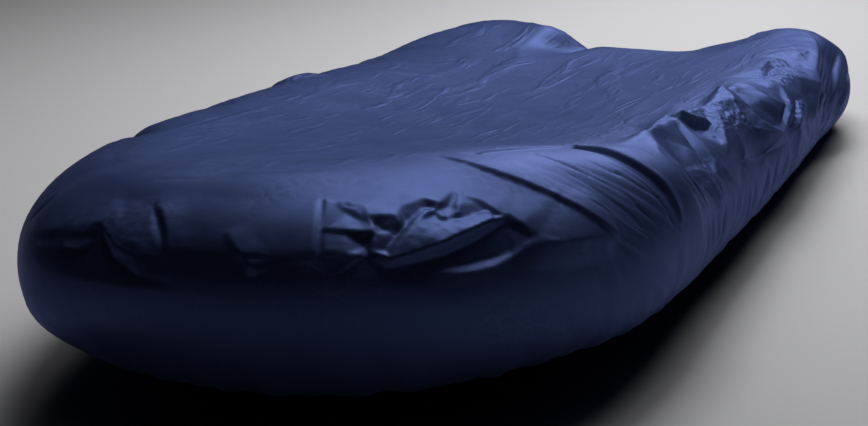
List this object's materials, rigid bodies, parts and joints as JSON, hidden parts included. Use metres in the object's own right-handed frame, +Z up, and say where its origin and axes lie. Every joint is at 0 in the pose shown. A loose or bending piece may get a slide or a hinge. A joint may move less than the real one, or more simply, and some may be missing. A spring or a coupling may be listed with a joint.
{
  "type": "boat cover",
  "caption": "Fitted navy cloth cover for a small inflatable boat, draped over bow, tubes and stern, with a gathered hem drawn in under the tubes.",
  "frame": {"origin": "centre of the cover's bounding box in plan, at the height of the hem's lowest edge", "axes": "+Y towards the stern, so the bow points along -Y; +Z up; +X to starboard"},
  "size_m": [1.5805, 2.8506, 0.5992],
  "materials": {
    "navy_cloth": "closely woven coated polyester with a soft satin sheen"
  },
  "bodies": {
    "root": {"cover": "navy_cloth"}
  },
  "joints": []
}
